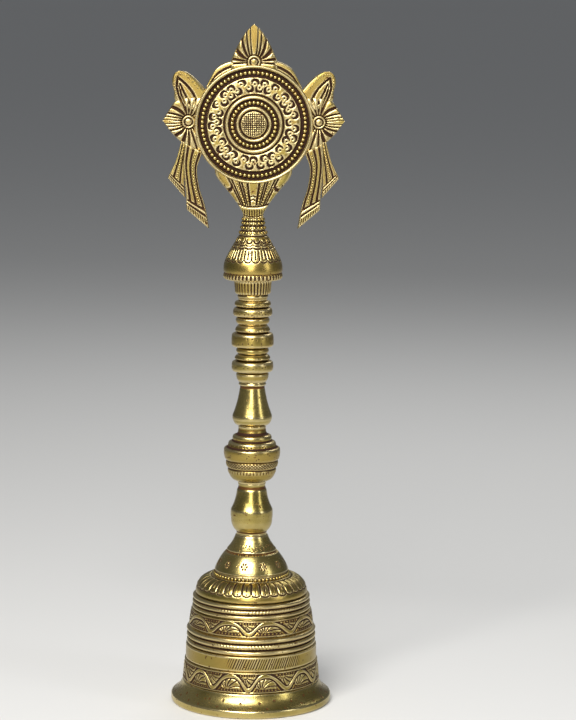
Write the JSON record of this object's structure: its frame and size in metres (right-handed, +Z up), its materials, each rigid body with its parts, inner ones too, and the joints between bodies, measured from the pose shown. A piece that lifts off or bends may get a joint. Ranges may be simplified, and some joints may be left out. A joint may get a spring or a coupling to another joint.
{
  "type": "hand bell",
  "caption": "Brass puja hand bell with flared mouth, turned handle, flame-edged wheel finial with ribbons, and a swivel-hung clapper.",
  "frame": {"origin": "centre of the mouth's rim plane, where the bell stands", "axes": "+Z up along the handle to the finial's tip, -Y the way the finial's face looks, +X to its right seen from the front"},
  "size_m": [0.0804, 0.0724, 0.305],
  "materials": {
    "antique_brass": "cast brass, polished high spots over dark brown patina",
    "polished_brass": "turned and polished brass with fine casting pits",
    "clapper_brass": "dull turned brass",
    "steel": "plain machined steel"
  },
  "bodies": {
    "bell": {"bell_cup": "antique_brass", "crown_bead_ring": "antique_brass", "handle_foot": "antique_brass", "lower_vase": "polished_brass", "handle_knop": "antique_brass", "upper_vase": "polished_brass", "lower_grip_ring": "antique_brass", "middle_grip_ring": "antique_brass", "upper_grip_ring": "antique_brass", "top_collar": "antique_brass", "finial_cap": "antique_brass", "chakra_plate": "antique_brass", "tie_rod": "steel", "crown_washer": "steel", "hanger_nut": "steel"},
    "swivel": {"swivel_loop": "clapper_brass"},
    "clapper": {"clapper_rod": "clapper_brass", "clapper_ball": "clapper_brass"}
  },
  "joints": [
    {"name": "swivel_spin", "type": "hinge", "parent": "bell", "child": "swivel", "pos_m": [0, 0, 0.03945], "axis": [0, 0, 1], "continuous": true},
    {"name": "clapper_swing", "type": "hinge", "parent": "swivel", "child": "clapper", "pos_m": [0, 0, 0.03945], "axis": [1, 0, 0], "range_deg": [-41, 41]}
  ]
}
